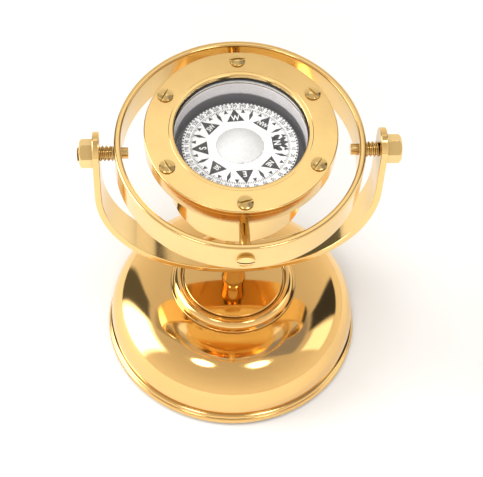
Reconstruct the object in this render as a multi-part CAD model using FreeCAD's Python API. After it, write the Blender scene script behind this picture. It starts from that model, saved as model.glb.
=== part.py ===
"""Gimballed binnacle compass on a spun brass base, one STEP file per piece.

Frame: +Z up, origin on the table at the middle of the base, X along the yoke's pivot axis.
The gimbal ring and the bowl are made level, then turned together about X to their rest lean.
"""
import FreeCAD
import Part
import math
import os

# ---- driving dimensions, mm ----------------------------------------------------------------
PIVOT_Z = 152.0          # height of the yoke's pivot axis above the table
LEAN = 7.0               # rest lean of the ring and bowl about X, front edge down, degrees

FOOT_R = 72.0            # outside radius of the foot
DOME_FOOT_Z = 7.5        # where the spun dome leaves the foot ring
CAP_Z = 44.5             # polished top of the pedestal
STRAP_UNDER_Z = 60.5     # underside of the yoke at the middle

BAR_T = 3.5              # flat bar of the yoke and the gimbal ring, thickness
BAR_W = 19.0             # and its width
ARM_X = 73.1             # middle of each yoke arm from the centre
RING_R = 64.0            # outside radius of the gimbal ring

BEZEL_R = 48.8           # outside radius of the bezel and the bowl's flange
BEZEL_TOP = 19.0         # top of the bezel above the pivot axis
WINDOW_R = 34.0          # clear window
SCREW_RING_R = 43.3      # the six bezel screws stand on this radius
BOWL_R = 35.6            # bowl's outside radius under the flange
BOWL_BOTTOM = -32.0      # bottom of the bowl from the pivot axis
CARD_R = 29.7            # compass card
TIP_Z = 3.0              # point of the card's pivot above the gimbal's axes

RUN = 0.05               # radial clearance of a running fit
SHEET = 1.2              # spun sheet

ORIGIN = FreeCAD.Vector(0, 0, 0)
X, Y, Z = (FreeCAD.Vector(*axis) for axis in ((1, 0, 0), (0, 1, 0), (0, 0, 1)))


# ---- making shapes -------------------------------------------------------------------------
def cylinder(radius, start, end, axis=Z, at=ORIGIN):
    """A cylinder from start to end along an axis through at."""
    return Part.makeCylinder(radius, end - start, at + axis * start, axis)


def ring(outer, inner, start, end, axis=Z, at=ORIGIN):
    """A tube from start to end along an axis through at."""
    return cylinder(outer, start, end, axis, at).cut(cylinder(inner, start - 1, end + 1, axis, at))


def point(r, z):
    return FreeCAD.Vector(r, 0, z)


def arc(start, middle, end):
    return Part.Arc(point(*start), point(*middle), point(*end)).toShape()


def lines(*corners):
    return [Part.makeLine(point(*a), point(*b)) for a, b in zip(corners, corners[1:])]


def curve(points):
    """A smooth curve through points of (radius, height)."""
    spline = Part.BSplineCurve()
    spline.interpolate([point(*p) for p in points])
    return spline.toShape()


def turned(edges):
    """Turn a closed outline of edges about Z."""
    face = Part.Face(Part.Wire(Part.__sortEdges__(edges)))
    return face.revolve(ORIGIN, Z, 360)


def hexagon(across_flats, start, end, axis, vertex, chamfer_at):
    """A hexagonal head along X. vertex is one corner's angle from -Y towards +Z, in degrees."""
    radius = across_flats / math.sqrt(3)
    low, high = sorted((start, end))
    corners = []
    for k in range(7):
        angle = math.radians(vertex + 60 * k)
        corners.append(FreeCAD.Vector(low, -radius * math.cos(angle), PIVOT_Z + radius * math.sin(angle)))
    prism = Part.Face(Part.makePolygon(corners)).extrude(axis * (high - low))
    centre = FreeCAD.Vector(0, 0, PIVOT_Z)
    reach = 1.1
    if chamfer_at > 0:
        barrel = cylinder(radius + 0.01, low, high - reach, axis, centre)
        tip = Part.makeCone(radius + 0.01, across_flats / 2 - 0.3, reach,
                            centre + axis * (high - reach), axis)
    else:
        barrel = cylinder(radius + 0.01, low + reach, high, axis, centre)
        tip = Part.makeCone(across_flats / 2 - 0.3, radius + 0.01, reach, centre + axis * low, axis)
    return prism.common(barrel.fuse(tip))


FLATTER = 6.0            # a head's top is this much flatter than a cap that runs to its edge


def slotted_head(radius, height, at, axis, across, width, depth):
    """A low round screw head standing on at, its slot running along across."""
    sphere_r = (radius ** 2 + height ** 2) / (2 * height) + FLATTER
    drop = sphere_r - height
    head = cylinder(radius, 0, height, axis, at)
    dome = Part.makeSphere(sphere_r, at - axis * drop)
    side = axis.cross(across)
    floor = at + axis * (height - depth)
    reach, half = across * (radius + 1), side * (width / 2)
    mouth = [floor + reach + half, floor - reach + half, floor - reach - half, floor + reach - half]
    slot = Part.Face(Part.makePolygon(mouth + mouth[:1])).extrude(axis * (depth + 1))
    return head.common(dome).cut(slot)


def leaned(shape):
    """Place a shape made about the gimbal's centre: lean it about X and lift it to the pivots."""
    placed = shape.copy()
    placed.rotate(ORIGIN, X, LEAN)
    placed.translate(FreeCAD.Vector(0, 0, PIVOT_Z))
    return placed


# ---- base ----------------------------------------------------------------------------------
DOME_MID_R = 34.0        # the dome's outline is a squarish quarter ellipse about this radius
DOME_LOW_Z = 11.0        # and this height
DOME_SPAN_R = 36.0
DOME_SPAN_Z = 27.5
SQUARENESS = 2.4
COLLAR_R = 35.5          # foot of the beaded collar on the dome
CAP_R = 28.2
HOLE_R = 4.1             # clearance hole for the tie bolt
BOLT_R = 4.0


def dome_outline(inset, steps=9):
    """Points up the dome from its foot to the collar, inset by the sheet's thickness."""
    span_r, span_z = DOME_SPAN_R - inset, DOME_SPAN_Z - inset
    points = [(69.3 - inset, DOME_FOOT_Z)]
    for k in range(steps + 1):
        angle = math.radians(2 + 84 * k / steps)
        r = DOME_MID_R + span_r * math.cos(angle) ** (2 / SQUARENESS)
        z = DOME_LOW_Z + span_z * math.sin(angle) ** (2 / SQUARENESS)
        points.append((r, z))
    return points


def base_dome():
    outside, inside = dome_outline(0), dome_outline(SHEET)
    top_out, top_in = outside[-1], inside[-1]
    rim = lines(inside[0], outside[0])
    crown = lines(top_out, (HOLE_R, top_out[1]), (HOLE_R, top_in[1]), top_in)
    return turned([curve(outside), curve(inside)] + rim + crown)


def foot_ring():
    """Turned foot: a rolled lower rim, a fine groove, an upper bead and a seat for the dome."""
    top = DOME_FOOT_Z
    profile = [arc((70.6, 0.6), (FOOT_R, 2.7), (71.2, 4.8))]
    profile += lines((71.2, 4.8), (70.5, 5.0))
    profile += [arc((70.5, 5.0), (71.1, 6.1), (70.3, 7.2))]
    profile += lines((70.3, 7.2), (69.3, top), (60.0, top), (60.0, 3.0), (66.0, 3.0), (66.0, 0.6),
                     (70.6, 0.6))
    return turned(profile)


def base_plate():
    return ring(65.9, 12.0, 1.5, 3.0)


def base_felt():
    return ring(65.5, 12.0, 0.0, 1.5)


BALLAST_TOP = 16.0
BOLT_HEAD_Z = 8.0        # the tie bolt's head is sunk in the ballast below this height


def base_ballast():
    disc = cylinder(56.0, 3.0, BALLAST_TOP)
    return disc.cut(cylinder(9.0, 2.0, BOLT_HEAD_Z)).cut(cylinder(HOLE_R, BOLT_HEAD_Z - 1, BALLAST_TOP + 1))


def ballast_tube():
    """Spacer that carries the tie bolt's pull from the ballast up to the dome's crown."""
    return ring(7.0, HOLE_R, BALLAST_TOP, dome_outline(SHEET)[-1][1])


def collar_ring():
    seat = dome_outline(0)[-1][1]
    profile = lines((CAP_R, seat), (COLLAR_R, seat), (COLLAR_R, seat + 1.2), (34.2, seat + 1.6))
    profile += [arc((34.2, seat + 1.6), (33.6, seat + 4.0), (31.6, 43.9))]
    profile += [arc((31.6, 43.9), (30.3, 43.9), (29.2, 42.9))]
    profile += lines((29.2, 42.9), (CAP_R, 42.9), (CAP_R, seat))
    return turned(profile)


def pedestal_cap():
    seat = dome_outline(0)[-1][1]
    edge = 0.7
    profile = lines((CAP_R - edge, CAP_Z), (HOLE_R, CAP_Z), (HOLE_R, seat), (CAP_R, seat),
                    (CAP_R, CAP_Z - edge))
    knee = edge * (1 - math.sqrt(0.5))
    profile += [arc((CAP_R, CAP_Z - edge), (CAP_R - knee, CAP_Z - knee), (CAP_R - edge, CAP_Z))]
    return turned(profile)


def stem():
    """Turned post between the pedestal and the yoke, a little waisted."""
    low, high, foot_r, waist_r = CAP_Z, STRAP_UNDER_Z, 6.6, 6.1
    profile = lines((HOLE_R, low), (foot_r, low), (foot_r, low + 1.2))
    profile += [arc((foot_r, low + 1.2), (waist_r, (low + high) / 2), (foot_r, high - 1.2))]
    profile += lines((foot_r, high - 1.2), (foot_r, high), (HOLE_R, high), (HOLE_R, low))
    return turned(profile)


CROWN_R = 88.0           # radius of the yoke's bottom, at the middle of the bar
STRAP_TOP_Z = STRAP_UNDER_Z + BAR_T
NUT_ACROSS = 13.0
NUT_H = 6.5
WASHER_T = 1.6
BOLT_OVER = 1.5          # the bolt stands this far out of its nut


def upright_hexagon(low, high):
    corners = []
    for k in range(7):
        angle = math.radians(60 * k)
        size = NUT_ACROSS / math.sqrt(3)
        corners.append(FreeCAD.Vector(size * math.cos(angle), size * math.sin(angle), low))
    return Part.Face(Part.makePolygon(corners)).extrude(Z * (high - low))


def tie_bolt():
    head = upright_hexagon(BOLT_HEAD_Z - 5.3, BOLT_HEAD_Z)
    return head.fuse(cylinder(BOLT_R, BOLT_HEAD_Z, STRAP_TOP_Z + WASHER_T + NUT_H + BOLT_OVER))


def tie_washer():
    """Saddle washer: flat above for the nut, its underside filed to the yoke's inside curve."""
    blank = ring(8.0, HOLE_R, STRAP_TOP_Z, STRAP_TOP_Z + WASHER_T)
    curve_r = CROWN_R - BAR_T / 2
    return blank.common(cylinder(curve_r, -BAR_W, BAR_W, Y, Z * (STRAP_TOP_Z + curve_r)))


def tie_nut():
    low = STRAP_TOP_Z + WASHER_T
    return upright_hexagon(low, low + NUT_H).cut(cylinder(BOLT_R, low - 1, low + NUT_H + 1))


# ---- yoke and its pivots -------------------------------------------------------------------
CROWN_TURN = 22.0        # degrees the yoke's bottom turns each side before the tighter corner
ARM_OVER = 12.0          # arms rise this far above the pivot axis
ARM_BORE_R = 4.0


def yoke_line(offset):
    """Edges of the yoke's outline at an offset from the bar's middle, and the ends' points."""
    turn = math.radians(CROWN_TURN)
    corner_r = (ARM_X - CROWN_R * math.sin(turn)) / (1 - math.sin(turn))
    bottom = STRAP_UNDER_Z + BAR_T / 2
    crown_centre_z = bottom + CROWN_R
    corner_x = ARM_X - corner_r
    corner_z = crown_centre_z - (CROWN_R - corner_r) * math.cos(turn)

    def on_crown(angle):
        radius = CROWN_R + offset
        return radius * math.sin(angle), crown_centre_z - radius * math.cos(angle)

    def on_corner(angle, side):
        radius = corner_r + offset
        return side * (corner_x + radius * math.sin(angle)), corner_z - radius * math.cos(angle)

    top = PIVOT_Z + ARM_OVER
    edges = [arc(on_crown(-turn), on_crown(0), on_crown(turn))]
    ends = []
    for side in (-1, 1):
        halfway = (turn + math.pi / 2) / 2
        edges.append(arc(on_corner(turn, side), on_corner(halfway, side), on_corner(math.pi / 2, side)))
        end = (side * (ARM_X + offset), top)
        edges += lines(on_corner(math.pi / 2, side), end)
        ends.append(end)
    return edges, ends


def yoke():
    outer, outer_ends = yoke_line(BAR_T / 2)
    inner, inner_ends = yoke_line(-BAR_T / 2)
    caps = lines(outer_ends[0], inner_ends[0]) + lines(outer_ends[1], inner_ends[1])
    face = Part.Face(Part.Wire(Part.__sortEdges__(outer + inner + caps)))
    bar = face.extrude(Y * BAR_W)
    bar.translate(Y * (-BAR_W / 2))
    reach = ARM_X + 10
    round_r = BAR_W / 2
    round_z = PIVOT_Z + ARM_OVER - round_r
    ends = cylinder(round_r, -reach, reach, X, FreeCAD.Vector(0, 0, round_z))
    below = Part.makeBox(2 * reach, BAR_W, round_z, FreeCAD.Vector(-reach, -round_r, 0))
    bar = bar.common(ends.fuse(below))
    bar = bar.cut(cylinder(ARM_BORE_R, -reach, reach, X, FreeCAD.Vector(0, 0, PIVOT_Z)))
    return bar.cut(cylinder(HOLE_R, STRAP_UNDER_Z - 1, STRAP_TOP_Z + 1))


THREAD_R = 4.0           # pivot screws: coarse thread
JOURNAL_R = 2.9          # and the plain tip that carries the ring
SHOULDER_X = RING_R + 0.3
TIP_X = RING_R - BAR_T - 3.7
ARM_OUT_X = ARM_X + BAR_T / 2
END_X = ARM_OUT_X + 8.0  # both pivots end at the same distance from the centre
STUD_OVER = 1.2
HEX_ACROSS = 13.0
LEFT_CORNER = 52.0       # how each hexagon came to rest when it was tightened, degrees
RIGHT_CORNER = 69.0
PIVOT_CENTRE = FreeCAD.Vector(0, 0, PIVOT_Z)


def pivot_screw(side, threaded_to):
    """Thread from the arm in to the shoulder, then the journal through the ring's hole."""
    axis = X * side
    thread = cylinder(THREAD_R, SHOULDER_X, threaded_to, axis, PIVOT_CENTRE)
    return thread.fuse(cylinder(JOURNAL_R, TIP_X, SHOULDER_X, axis, PIVOT_CENTRE))


def pivot_stud():
    return pivot_screw(-1, END_X)


def pivot_nut():
    body = hexagon(HEX_ACROSS, -END_X + STUD_OVER, -ARM_OUT_X, X, LEFT_CORNER, -1)
    return body.cut(cylinder(THREAD_R, -END_X - 1, 0, X, PIVOT_CENTRE))


def pivot_bolt():
    head = hexagon(HEX_ACROSS, ARM_OUT_X, END_X, X, RIGHT_CORNER, 1)
    return head.fuse(pivot_screw(1, ARM_OUT_X))


# ---- gimbal ring ---------------------------------------------------------------------------
BOWL_SCREW_R = 2.75      # screws that carry the bowl, front and back
BOWL_SCREW_TIP = 37.0
HEAD_R = 4.4
HEAD_H = 2.4


RING_EDGE = 1.2          # the hoop's four edges are rounded this much


def gimbal_ring():
    """Flat bar rolled into a hoop, its edges rounded."""
    low_r, high_r, half, knee = RING_R - BAR_T, RING_R, BAR_W / 2, RING_EDGE * (1 - math.sqrt(0.5))
    profile = []
    for r, z, in_r, in_z in ((low_r, -half, 1, 1), (high_r, -half, -1, 1), (high_r, half, -1, -1),
                             (low_r, half, 1, -1)):
        profile.append(arc((r, z + in_z * RING_EDGE), (r + in_r * knee, z + in_z * knee),
                           (r + in_r * RING_EDGE, z)))
    profile += lines((low_r + RING_EDGE, -half), (high_r - RING_EDGE, -half))
    profile += lines((high_r, -half + RING_EDGE), (high_r, half - RING_EDGE))
    profile += lines((high_r - RING_EDGE, half), (low_r + RING_EDGE, half))
    profile += lines((low_r, half - RING_EDGE), (low_r, -half + RING_EDGE))
    hoop = turned(profile)
    hoop = hoop.cut(cylinder(JOURNAL_R + RUN, -RING_R - 1, RING_R + 1, X))
    return hoop.cut(cylinder(BOWL_SCREW_R, -RING_R - 1, RING_R + 1, Y))


def bowl_pivot_screws():
    screws = []
    for side in (-1, 1):
        axis = Y * side
        shank = cylinder(BOWL_SCREW_R, BOWL_SCREW_TIP, RING_R, axis)
        seat = cylinder(HEAD_R, RING_R - 0.4, RING_R, axis).cut(cylinder(RING_R, -20, 20))
        head = slotted_head(HEAD_R, HEAD_H, axis * RING_R, axis, X, 1.0, 1.1)
        screws.append(shank.fuse(seat).fuse(head))
    return Part.makeCompound(screws)


# ---- bowl ----------------------------------------------------------------------------------
BEZEL_T = 3.0
FLANGE_TOP = BEZEL_TOP - BEZEL_T
FLANGE_UNDER = 9.0
GLASS_R = 38.4
SEAL_T = 0.7
GLASS_T = 2.3
SEAT_Z = FLANGE_TOP - 0.8 - GLASS_T - SEAL_T
CASE_IN_R = 34.2
LOWER_IN_R = 33.0        # below the floor's ledge
LINER_T = 0.5
FLOOR_Z = -6.0           # top of the liquid chamber's floor
FLOOR_T = 2.0
POST_R = 1.6
BOSS_R = 4.2
BOSS_END = 42.0
COVER_T = 2.0
SCREW_ANGLES = [90 + 60 * k for k in range(6)]
SLOT_ANGLES = [4, 62, 118, 14, 55, 128]


def bezel_ring():
    edge = 0.6
    profile = lines((WINDOW_R, FLANGE_TOP), (BEZEL_R, FLANGE_TOP), (BEZEL_R, BEZEL_TOP - edge),
                    (BEZEL_R - edge, BEZEL_TOP), (WINDOW_R + edge, BEZEL_TOP), (WINDOW_R, BEZEL_TOP - edge),
                    (WINDOW_R, FLANGE_TOP))
    plate = turned(profile)
    for centre in screw_places():
        plate = plate.cut(cylinder(1.7, FLANGE_TOP - 1, BEZEL_TOP + 1, Z, centre))
    return plate


def screw_places():
    turns = [math.radians(angle) for angle in SCREW_ANGLES]
    return [FreeCAD.Vector(SCREW_RING_R * math.cos(a), SCREW_RING_R * math.sin(a), 0) for a in turns]


def bezel_screws():
    screws = []
    for centre, slot in zip(screw_places(), SLOT_ANGLES):
        across = FreeCAD.Vector(math.cos(math.radians(slot)), math.sin(math.radians(slot)), 0)
        head = slotted_head(3.9, 1.6, centre + Z * BEZEL_TOP, Z, across, 1.1, 1.0)
        screws.append(head.fuse(cylinder(1.55, FLANGE_UNDER + 1.5, BEZEL_TOP, Z, centre)))
    return Part.makeCompound(screws)


def bowl_case():
    """Flange and barrel in one, seated for the glass above and bored for the cover below."""
    foot_r = 1.5
    knee = foot_r * (1 - math.sqrt(0.5))
    profile = lines((BOWL_R, BOWL_BOTTOM + foot_r), (BOWL_R, FLANGE_UNDER), (BEZEL_R, FLANGE_UNDER),
                    (BEZEL_R, FLANGE_TOP), (GLASS_R + 0.1, FLANGE_TOP), (GLASS_R + 0.1, SEAT_Z),
                    (CASE_IN_R, SEAT_Z), (CASE_IN_R, FLOOR_Z - FLOOR_T), (LOWER_IN_R, FLOOR_Z - FLOOR_T),
                    (LOWER_IN_R, BOWL_BOTTOM), (BOWL_R - foot_r, BOWL_BOTTOM))
    profile += [arc((BOWL_R - foot_r, BOWL_BOTTOM), (BOWL_R - knee, BOWL_BOTTOM + knee),
                    (BOWL_R, BOWL_BOTTOM + foot_r))]
    case = turned(profile)
    for centre in screw_places():
        case = case.cut(cylinder(1.55, FLANGE_UNDER + 1.5, FLANGE_TOP + 1, Z, centre))
    return case.cut(filling_hole())


PLUG_WAY = FreeCAD.Vector(-math.sqrt(0.5), math.sqrt(0.5), 0)
PLUG_AT = FreeCAD.Vector(0, 0, 4.0)
PLUG_R = 2.0


def filling_hole():
    return cylinder(PLUG_R, CASE_IN_R - 3, BOWL_R + 3, PLUG_WAY, PLUG_AT)


def filler_plug():
    """Slotted brass plug that closes the liquid chamber's filling hole, on its fibre washer."""
    shank = cylinder(PLUG_R, CASE_IN_R + 0.2, BOWL_R + 1.0, PLUG_WAY, PLUG_AT)
    head = slotted_head(3.2, 1.6, PLUG_AT + PLUG_WAY * (BOWL_R + 1.0), PLUG_WAY, Z, 0.8, 0.7)
    return shank.fuse(head)


def plug_washer():
    washer = ring(3.2, PLUG_R, BOWL_R - 0.6, BOWL_R + 1.0, PLUG_WAY, PLUG_AT)
    return washer.cut(cylinder(BOWL_R, -20, FLANGE_UNDER))


def pivot_bosses():
    """Two bosses soldered to the barrel, bored for the tips of the bowl's pivot screws."""
    bosses = []
    for side in (-1, 1):
        axis = Y * side
        boss = cylinder(BOSS_R, BOWL_R - 1.0, BOSS_END, axis)
        boss = boss.cut(cylinder(BOWL_R, -20, 8.5))
        bosses.append(boss.cut(cylinder(BOWL_SCREW_R + RUN, BOWL_SCREW_TIP - 0.3, BOSS_END + 1, axis)))
    return Part.makeCompound(bosses)


LIP_R = 33.6             # inside of the gasket's lip
LIP_TOP = 16.4


def window_gasket():
    """Rubber ring on the glass, with a lip that lines the window's edge."""
    lip = ring(WINDOW_R - RUN, LIP_R, FLANGE_TOP - 0.1, LIP_TOP)
    return ring(GLASS_R, LIP_R, FLANGE_TOP - 0.8, FLANGE_TOP).fuse(lip)


def window_glass():
    return cylinder(GLASS_R, SEAT_Z + SEAL_T, FLANGE_TOP - 0.8)


def glass_seal():
    return ring(GLASS_R, CASE_IN_R + 0.3, SEAT_Z, SEAT_Z + SEAL_T)


def chamber_liner():
    sleeve = ring(CASE_IN_R, CASE_IN_R - LINER_T, FLOOR_Z, SEAT_Z - 0.2)
    return sleeve.cut(filling_hole())


def chamber_floor():
    return ring(CASE_IN_R - 0.05, POST_R, FLOOR_Z - FLOOR_T, FLOOR_Z)


def pivot_post():
    """Brass post riveted through the chamber's floor."""
    post = cylinder(POST_R, FLOOR_Z - FLOOR_T, TIP_Z - 4.5)
    return post.fuse(cylinder(3.5, FLOOR_Z, FLOOR_Z + 1.2))


def pivot_point():
    """Hardened steel point that carries the card's jewel."""
    cone = Part.makeCone(0.8, 0.12, 2.5, FreeCAD.Vector(0, 0, TIP_Z - 2.5), Z)
    return cone.fuse(cylinder(0.8, TIP_Z - 4.5, TIP_Z - 2.5))


def expansion_diaphragm():
    """Corrugated brass disc under the floor that lets the liquid swell and shrink."""
    outer, thick, waves = LOWER_IN_R - 0.1, 0.4, 3
    mid = FLOOR_Z - FLOOR_T - 3.5
    top = [(outer * (1 - k / (2 * waves)), mid + (0.8 if k % 2 else 0.0)) for k in range(2 * waves)]
    low = [(r, z - thick) for r, z in reversed(top)]
    return turned(lines(*top, (0, mid), (0, mid - thick), *low, top[0]))


def bowl_weight():
    """Lead disc low in the bowl, which keeps the card's window upward."""
    return cylinder(LOWER_IN_R - 0.1, BOWL_BOTTOM + COVER_T, BOWL_BOTTOM + COVER_T + 9.0)


def bowl_cover():
    return cylinder(LOWER_IN_R - 0.05, BOWL_BOTTOM, BOWL_BOTTOM + COVER_T).cut(cover_holes())


def cover_places():
    places = []
    for k in range(4):
        angle = math.radians(45 + 90 * k)
        places.append(FreeCAD.Vector(27.0 * math.cos(angle), 27.0 * math.sin(angle), 0))
    return places


def cover_holes():
    return Part.makeCompound([cylinder(1.3, BOWL_BOTTOM - 1, BOWL_BOTTOM + COVER_T + 1, Z, c)
                              for c in cover_places()])


def cover_screws():
    """Four small screws from below, through the cover into the weight's underside."""
    down = Z * -1
    screws = []
    for centre in cover_places():
        head = slotted_head(2.4, 1.1, centre + Z * BOWL_BOTTOM, down, X, 0.6, 0.5)
        screws.append(head.fuse(cylinder(1.3, BOWL_BOTTOM, BOWL_BOTTOM + COVER_T, Z, centre)))
    return Part.makeCompound(screws)


# ---- card, made about the point it turns on ------------------------------------------------
CARD_LOW = 1.3
CARD_T = 0.4
FLOAT_R = 12.2
DOME_H = 4.6
CUP_R = 1.6
CUP_TOP = 0.9


def compass_card():
    return ring(CARD_R, FLOAT_R - 0.6, CARD_LOW, CARD_LOW + CARD_T)


def float_chamber():
    """Hollow float: a low dome over the card, a shallow pan under it and a tube for the cup."""
    top, low, wall = CARD_LOW + CARD_T, CARD_LOW - 3.5, 0.5
    cap_r = (FLOAT_R ** 2 + DOME_H ** 2) / (2 * DOME_H)
    cap_centre = top + DOME_H - cap_r
    halfway = math.asin(FLOAT_R / cap_r) / 2
    crown = (0, top + DOME_H)
    shoulder = (cap_r * math.sin(halfway), cap_centre + cap_r * math.cos(halfway))
    neck_r = FLOAT_R - 0.7
    profile = [arc((FLOAT_R, top), shoulder, crown)]
    profile += lines(crown, (0, low), (FLOAT_R - 2.5, low), (neck_r, CARD_LOW - 0.6), (neck_r, top),
                     (FLOAT_R, top))
    hollow = cylinder(FLOAT_R - 3.0, low + wall, top + DOME_H)
    hollow = hollow.common(Part.makeSphere(cap_r - wall, FreeCAD.Vector(0, 0, cap_centre)))
    hollow = hollow.cut(cylinder(CUP_R + wall, low, CUP_TOP + wall))
    return turned(profile).cut(hollow).cut(cylinder(CUP_R, low - 1, CUP_TOP))


def jewel_cup():
    """Sapphire cup over the steel point, hollowed so that only its middle bears."""
    cup = cylinder(CUP_R, -1.0, CUP_TOP)
    hollow = Part.makeCone(1.1, 0.15, 1.06, FreeCAD.Vector(0, 0, -1.01), Z)
    return cup.cut(hollow)


NORTH_TURN = 4.5         # degrees the card's north line stands off the yoke's line at rest


def card_magnets():
    """Two bar magnets under the card, on either side of the float, along its north line."""
    bars = []
    for side in (-1, 1):
        corner = FreeCAD.Vector(-17.0, side * 14.0 - 1.5, CARD_LOW - 2.2)
        bars.append(Part.makeBox(34.0, 3.0, 2.2, corner))
    pair = Part.makeCompound(bars)
    pair.rotate(FreeCAD.Vector(), Z, NORTH_TURN)
    return pair


def floated(shape):
    """The card floats level, so it only moves to the leaned bowl's point."""
    lean = math.radians(LEAN)
    placed = shape.copy()
    placed.translate(FreeCAD.Vector(0, -TIP_Z * math.sin(lean), PIVOT_Z + TIP_Z * math.cos(lean)))
    return placed


STAND = [base_felt, base_plate, foot_ring, base_ballast, ballast_tube, base_dome, collar_ring, pedestal_cap,
         stem, tie_bolt, tie_washer, tie_nut, yoke, pivot_stud, pivot_nut, pivot_bolt]
GIMBAL = [gimbal_ring, bowl_pivot_screws]
BOWL = [bowl_case, pivot_bosses, bezel_ring, bezel_screws, window_gasket, window_glass, glass_seal,
        chamber_liner, chamber_floor, pivot_post, pivot_point, expansion_diaphragm, bowl_weight,
        bowl_cover, cover_screws, filler_plug, plug_washer]
CARD = [compass_card, float_chamber, jewel_cup, card_magnets]

os.makedirs("parts", exist_ok=True)
for makers, place in ((STAND, lambda shape: shape), (GIMBAL, leaned), (BOWL, leaned), (CARD, floated)):
    for make in makers:
        shape = place(make())
        shape.exportStep(f"parts/{make.__name__}.step")
        box = shape.optimalBoundingBox()
        print(f"{make.__name__:20s} solids {len(shape.Solids)} valid {shape.isValid()}"
              f" volume {shape.Volume:9.1f}  z {box.ZMin:7.2f} {box.ZMax:7.2f}")
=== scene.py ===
import math

import bmesh
import bpy
from mathutils import Matrix, Vector


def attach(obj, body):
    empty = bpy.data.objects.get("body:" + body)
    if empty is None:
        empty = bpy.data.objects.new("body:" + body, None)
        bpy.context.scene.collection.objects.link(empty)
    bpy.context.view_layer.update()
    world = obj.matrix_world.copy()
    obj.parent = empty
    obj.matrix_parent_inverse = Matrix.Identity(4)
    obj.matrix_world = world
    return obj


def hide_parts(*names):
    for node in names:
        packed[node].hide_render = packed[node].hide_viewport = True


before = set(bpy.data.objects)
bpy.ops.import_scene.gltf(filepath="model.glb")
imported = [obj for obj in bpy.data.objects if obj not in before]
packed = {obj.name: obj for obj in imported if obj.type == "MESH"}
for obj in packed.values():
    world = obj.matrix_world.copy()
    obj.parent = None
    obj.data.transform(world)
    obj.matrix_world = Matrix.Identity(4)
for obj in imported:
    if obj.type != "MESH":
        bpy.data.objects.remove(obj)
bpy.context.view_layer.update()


# ---- foot ring -----------------------------------------------------------------------------
# Heavy brass ring under the dome, cast and turned: a rolled lower rim, a fine groove and an
# upper bead. It is polished all over and the dome's skirt is soft-soldered into its seat.

def bend_through(start, middle, end, steps=14):
    """Points of (radius, height) on the arc from start through middle to end."""
    (ax, ay), (bx, by), (cx, cy) = start, middle, end
    twice = 2 * (ax * (by - cy) + bx * (cy - ay) + cx * (ay - by))
    aa, bb, cc = ax * ax + ay * ay, bx * bx + by * by, cx * cx + cy * cy
    ox = (aa * (by - cy) + bb * (cy - ay) + cc * (ay - by)) / twice
    oy = (aa * (cx - bx) + bb * (ax - cx) + cc * (bx - ax)) / twice
    radius = math.hypot(ax - ox, ay - oy)
    first = math.atan2(ay - oy, ax - ox)
    to_middle = (math.atan2(by - oy, bx - ox) - first) % math.tau
    turn = (math.atan2(cy - oy, cx - ox) - first) % math.tau
    if to_middle > turn:
        turn -= math.tau
    return [(ox + radius * math.cos(first + turn * k / steps),
             oy + radius * math.sin(first + turn * k / steps)) for k in range(steps + 1)]


def eased(corners, steps=4, keep=0.12):
    """A closed outline. A corner given as (radius, height, easing) is rounded by that much, with a
    point just before and after so that the flats beside it stay flat in the shading."""
    outline = []
    for k, corner in enumerate(corners):
        here = Vector(corner[:2])
        ease = corner[2] if len(corner) > 2 else 0.0
        if not ease:
            outline.append(tuple(here))
            continue
        before = Vector(corners[k - 1][:2]) - here
        after = Vector(corners[(k + 1) % len(corners)][:2]) - here
        reach = ease / math.tan(before.angle(after) / 2)
        reach = min(reach, 0.42 * before.length, 0.42 * after.length)
        start, end = here + before.normalized() * reach, here + after.normalized() * reach
        if before.length > 3 * (reach + keep):
            outline.append(tuple(start + before.normalized() * keep))
        for step in range(steps + 1):
            t = step / steps
            outline.append(tuple(start * (1 - t) ** 2 + here * 2 * t * (1 - t) + end * t * t))
        if after.length > 3 * (reach + keep):
            outline.append(tuple(end + after.normalized() * keep))
    return outline


def smoothed(mesh, crease=32):
    """Smooth shading, broken where two faces meet at more than crease degrees."""
    mesh.shade_smooth()
    mesh.set_sharp_from_angle(angle=math.radians(crease))


TO_METRES = Matrix.Scale(0.001, 4)


def in_scene(name, data):
    """The mesh, lamp or lens as an object of its own, at the origin."""
    made = bpy.data.objects.new(name, data)
    bpy.context.scene.collection.objects.link(made)
    return made


def settled(holder):
    """The plain mesh that an object's modifiers or its lettering come to."""
    return bpy.data.meshes.new_from_object(holder.evaluated_get(bpy.context.evaluated_depsgraph_get()))


def piece_of(name, shape, place=None, material=None, crease=32):
    """The bmesh shape, made in mm, as a piece in metres with its place in its mesh."""
    bmesh.ops.remove_doubles(shape, verts=shape.verts, dist=1e-4)
    bmesh.ops.dissolve_degenerate(shape, edges=shape.edges, dist=1e-5)
    bmesh.ops.recalc_face_normals(shape, faces=shape.faces)
    if place:
        shape.transform(place)
    shape.transform(TO_METRES)
    mesh = bpy.data.meshes.new(name)
    shape.to_mesh(mesh)
    shape.free()
    smoothed(mesh, crease)
    if material:
        mesh.materials.append(material)
    return in_scene(name, mesh)


def sweep_round(shape, outline, steps=192):
    """Adds a closed outline of (radius, height) swept round Z to the bmesh shape."""
    rows = []
    for radius, height in outline:
        if radius < 1e-6:
            rows.append([shape.verts.new((0, 0, height))] * steps)
        else:
            rows.append([shape.verts.new((radius * math.cos(math.tau * k / steps),
                                          radius * math.sin(math.tau * k / steps), height))
                         for k in range(steps)])
    for low, high in zip(rows, rows[1:] + rows[:1]):
        for k in range(steps):
            corners = []
            for vert in (low[k], low[(k + 1) % steps], high[(k + 1) % steps], high[k]):
                if vert not in corners:
                    corners.append(vert)
            if len(corners) > 2:
                shape.faces.new(corners)
    return shape


def turned(name, outline, place=None, material=None, steps=192, crease=32):
    """A lathe-turned piece from its closed outline of (radius, height) in mm."""
    return piece_of(name, sweep_round(bmesh.new(), outline, steps), place, material, crease)


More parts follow.
